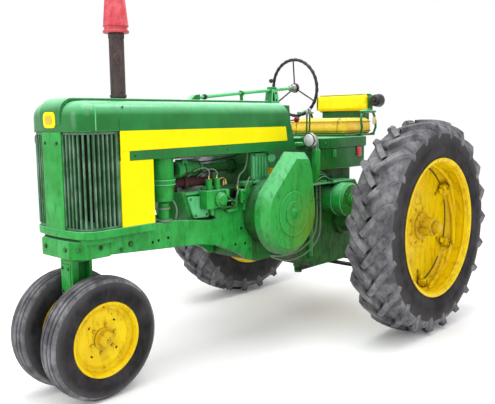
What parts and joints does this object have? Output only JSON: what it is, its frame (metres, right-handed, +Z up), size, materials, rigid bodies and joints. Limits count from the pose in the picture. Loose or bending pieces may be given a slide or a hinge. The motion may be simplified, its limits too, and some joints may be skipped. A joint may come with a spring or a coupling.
{
  "type": "vintage row-crop tractor",
  "caption": "Old farm tractor with a long hood, upright exhaust stack, narrow twin front wheels that steer and tall lugged rear wheels; wheels, pulley, fan and drawbar move.",
  "frame": {"origin": "on the ground, at the middle of the box round the whole tractor", "axes": "+Z up, the front of the tractor faces -Y, +X is its left side"},
  "size_m": [2.15, 3.412, 2.4],
  "materials": {
    "green_paint": "gloss, weathered",
    "yellow_paint": "gloss, chipped in places",
    "tyre_rubber": "worn, matte",
    "rusty_steel": "rusty, rough",
    "red_plastic": "satin",
    "dark_steel": "satin",
    "bare_steel": "satin",
    "seat_vinyl": "satin vinyl",
    "lamp_chrome": "polished",
    "black_plastic": "satin"
  },
  "bodies": {
    "chassis": {"hood": "green_paint", "grille": "green_paint", "nose_column": "green_paint", "pedestal": "green_paint", "frame_rail_left": "green_paint", "frame_rail_right": "green_paint", "crankcase": "green_paint", "cylinder_block": "green_paint", "cylinder_head": "green_paint", "flywheel_cover": "green_paint", "transmission_case": "green_paint", "axle_housing_left": "green_paint", "axle_housing_right": "green_paint", "brake_housing_left": "green_paint", "brake_housing_right": "green_paint", "injection_pump": "green_paint", "air_cleaner": "green_paint", "fan_shaft_tube": "green_paint", "fuel_tank": "green_paint", "instrument_panel": "green_paint", "platform": "green_paint", "seat_pedestal": "green_paint", "battery_box": "green_paint", "seat_frame": "green_paint", "nose_panel_left": "yellow_paint", "nose_panel_right": "yellow_paint", "exhaust_pipe": "rusty_steel", "exhaust_cap": "red_plastic", "radiator": "dark_steel", "drawbar_hanger": "dark_steel", "brake_pedal_left": "dark_steel", "brake_pedal_right": "dark_steel", "seat_cushion": "seat_vinyl", "seat_back": "seat_vinyl", "headlight_left": "lamp_chrome", "headlight_right": "lamp_chrome"},
    "front_steering": {"steering_post": "green_paint"},
    "front_wheel_left": {"front_wheel_left": "yellow_paint", "front_tyre_left": "tyre_rubber"},
    "front_wheel_right": {"front_wheel_right": "yellow_paint", "front_tyre_right": "tyre_rubber"},
    "rear_wheel_left": {"rear_wheel_left": "yellow_paint", "rear_tyre_left": "tyre_rubber", "rear_axle_left": "bare_steel"},
    "rear_wheel_right": {"rear_wheel_right": "yellow_paint", "rear_tyre_right": "tyre_rubber", "rear_axle_right": "bare_steel"},
    "steering_wheel": {"steering_wheel": "black_plastic", "steering_shaft": "bare_steel"},
    "fan": {"cooling_fan": "dark_steel"},
    "belt_pulley": {"belt_pulley": "green_paint"},
    "drawbar": {"drawbar": "dark_steel"},
    "pto_shaft": {"pto_shaft": "bare_steel"}
  },
  "joints": [
    {"name": "front_steer", "type": "hinge", "parent": "chassis", "child": "front_steering", "pos_m": [0, -1.385, 0.815], "axis": [0, 0, 1], "range_deg": [-70, 70]},
    {"name": "front_wheel_left_spin", "type": "hinge", "parent": "front_steering", "child": "front_wheel_left", "pos_m": [0.159, -1.353, 0.3535], "axis": [0.9994, 0, -0.0349], "continuous": true},
    {"name": "front_wheel_right_spin", "type": "hinge", "parent": "front_steering", "child": "front_wheel_right", "pos_m": [-0.159, -1.353, 0.3535], "axis": [0.9994, 0, 0.0349], "continuous": true},
    {"name": "rear_wheel_left_spin", "type": "hinge", "parent": "chassis", "child": "rear_wheel_left", "pos_m": [0.91, 0.933, 0.773], "axis": [1, 0, 0], "continuous": true},
    {"name": "rear_wheel_right_spin", "type": "hinge", "parent": "chassis", "child": "rear_wheel_right", "pos_m": [-0.91, 0.933, 0.773], "axis": [1, 0, 0], "continuous": true},
    {"name": "steering_wheel_turn", "type": "hinge", "parent": "chassis", "child": "steering_wheel", "pos_m": [0, 0.6, 1.797], "axis": [0, 0.9963, 0.0854], "range_deg": [-700, 700]},
    {"name": "fan_spin", "type": "hinge", "parent": "chassis", "child": "fan", "pos_m": [0, -1.123, 1.24], "axis": [0, 1, 0], "continuous": true},
    {"name": "belt_pulley_spin", "type": "hinge", "parent": "chassis", "child": "belt_pulley", "pos_m": [-0.42, 0.003, 0.93], "axis": [1, 0, 0], "continuous": true},
    {"name": "drawbar_swing", "type": "hinge", "parent": "chassis", "child": "drawbar", "pos_m": [0, 0.633, 0.38], "axis": [0, 0, 1], "range_deg": [-20, 20]},
    {"name": "pto_spin", "type": "hinge", "parent": "chassis", "child": "pto_shaft", "pos_m": [0, 1.29, 0.62], "axis": [0, 1, 0], "continuous": true}
  ],
  "couplings": [
    {"joint": "steering_wheel_turn", "follows": "front_steer", "ratio": 10}
  ]
}
